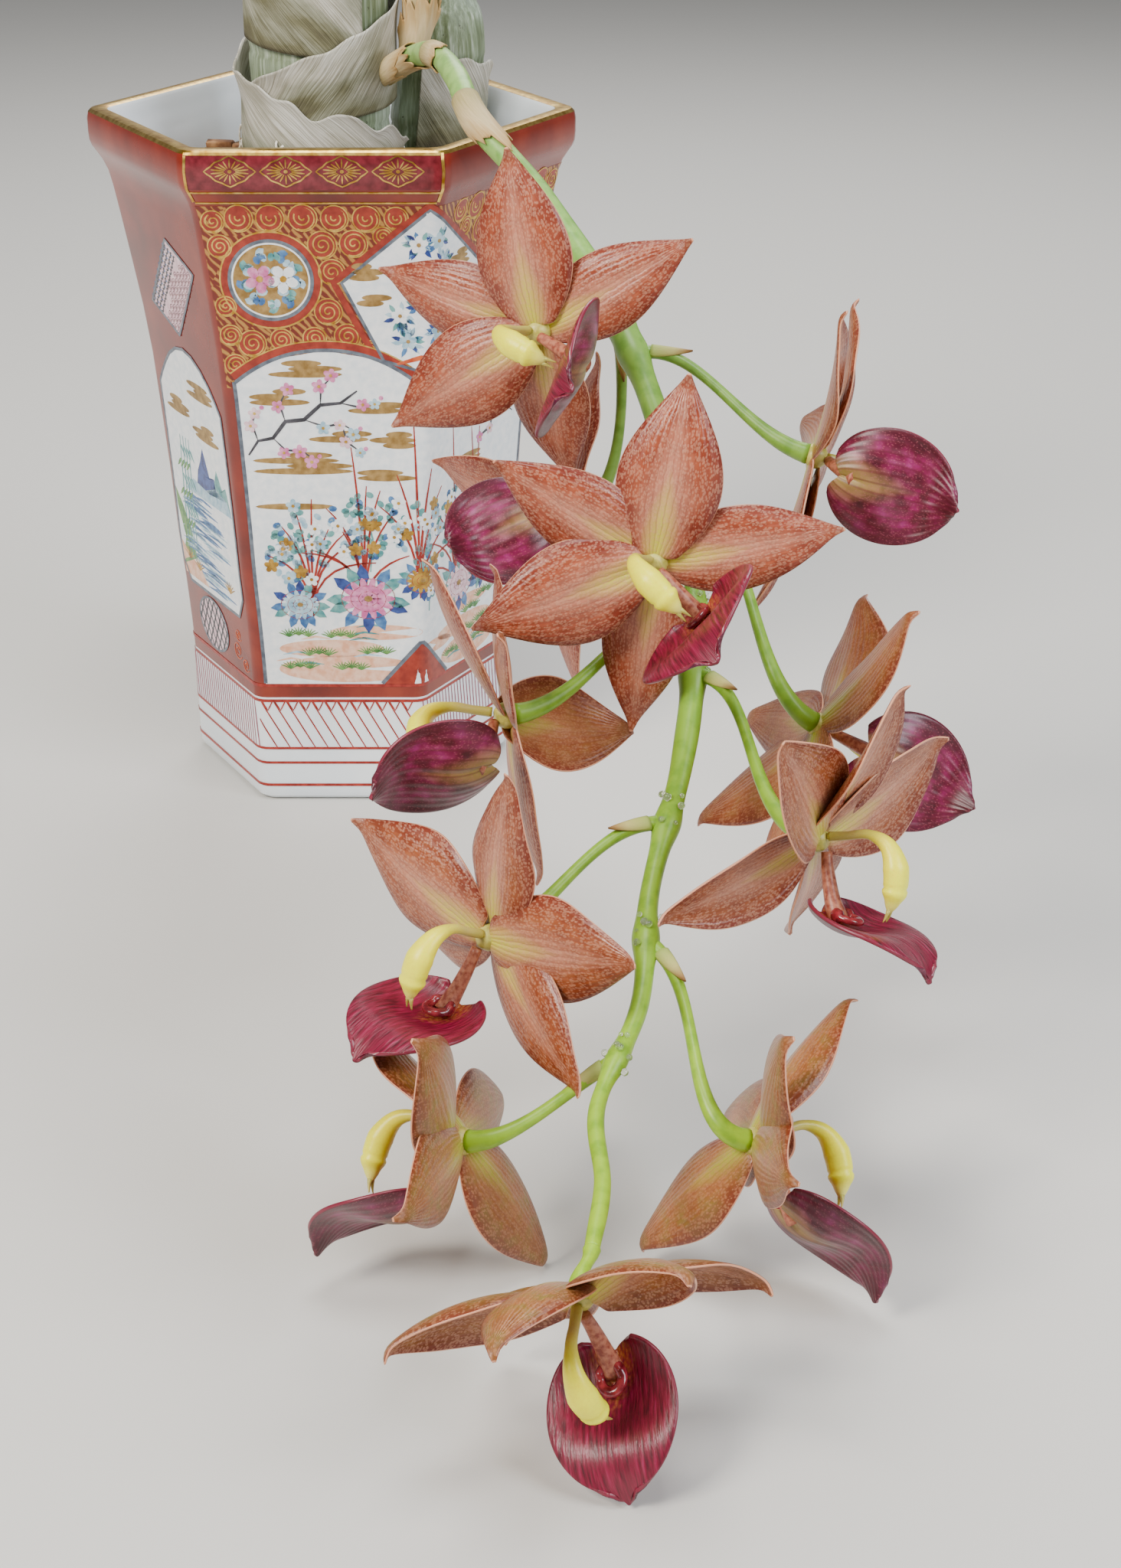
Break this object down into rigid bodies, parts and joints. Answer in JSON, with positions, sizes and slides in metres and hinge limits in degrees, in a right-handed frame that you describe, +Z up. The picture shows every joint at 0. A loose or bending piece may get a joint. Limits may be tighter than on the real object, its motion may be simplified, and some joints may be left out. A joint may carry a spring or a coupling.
{
  "type": "potted orchid with a trailing flower spray",
  "caption": "Catasetum-type hybrid orchid in a tall hexagonal painted porcelain pot, with ribbed bulbs and a long arching spray of copper blooms with dark lips",
  "frame": {"origin": "Centre of the pot's flat base, on the surface that the pot stands on.", "axes": "+Z up the pot's axis; the flower spray trails towards -Y and the viewer; +X to the viewer's right."},
  "size_m": [0.2453, 0.4632, 0.334],
  "materials": {
    "pot": "glossy painted glaze with gilt lines",
    "potting_mix": "rough bark chips",
    "bulb": "satin ribbed skin",
    "sheath": "dry papery, matt",
    "shoot": "satin leaf",
    "stem": "smooth satin",
    "tepals": "satin, finely mottled",
    "column": "waxy satin",
    "lip": "waxy gloss"
  },
  "bodies": {
    "root": {"pot": "pot", "potting_mix": "potting_mix", "bulb_main": "bulb", "bulb_back": "bulb", "sheath_low": "sheath", "sheath_middle": "sheath", "sheath_high": "sheath", "sheath_back": "sheath", "young_shoot": "shoot", "flower_stem": "stem", "bloom_01_tepals": "tepals", "bloom_01_column": "column", "bloom_01_lip": "lip", "bloom_02_tepals": "tepals", "bloom_02_column": "column", "bloom_02_lip": "lip", "bloom_03_tepals": "tepals", "bloom_03_column": "column", "bloom_03_lip": "lip", "bloom_04_tepals": "tepals", "bloom_04_column": "column", "bloom_04_lip": "lip", "bloom_05_tepals": "tepals", "bloom_05_column": "column", "bloom_05_lip": "lip", "bloom_06_tepals": "tepals", "bloom_06_column": "column", "bloom_06_lip": "lip", "bloom_07_tepals": "tepals", "bloom_07_column": "column", "bloom_07_lip": "lip", "bloom_08_tepals": "tepals", "bloom_08_column": "column", "bloom_08_lip": "lip", "bloom_09_tepals": "tepals", "bloom_09_column": "column", "bloom_09_lip": "lip", "bloom_10_tepals": "tepals", "bloom_10_column": "column", "bloom_10_lip": "lip", "bloom_11_tepals": "tepals", "bloom_11_column": "column", "bloom_11_lip": "lip"}
  },
  "joints": []
}
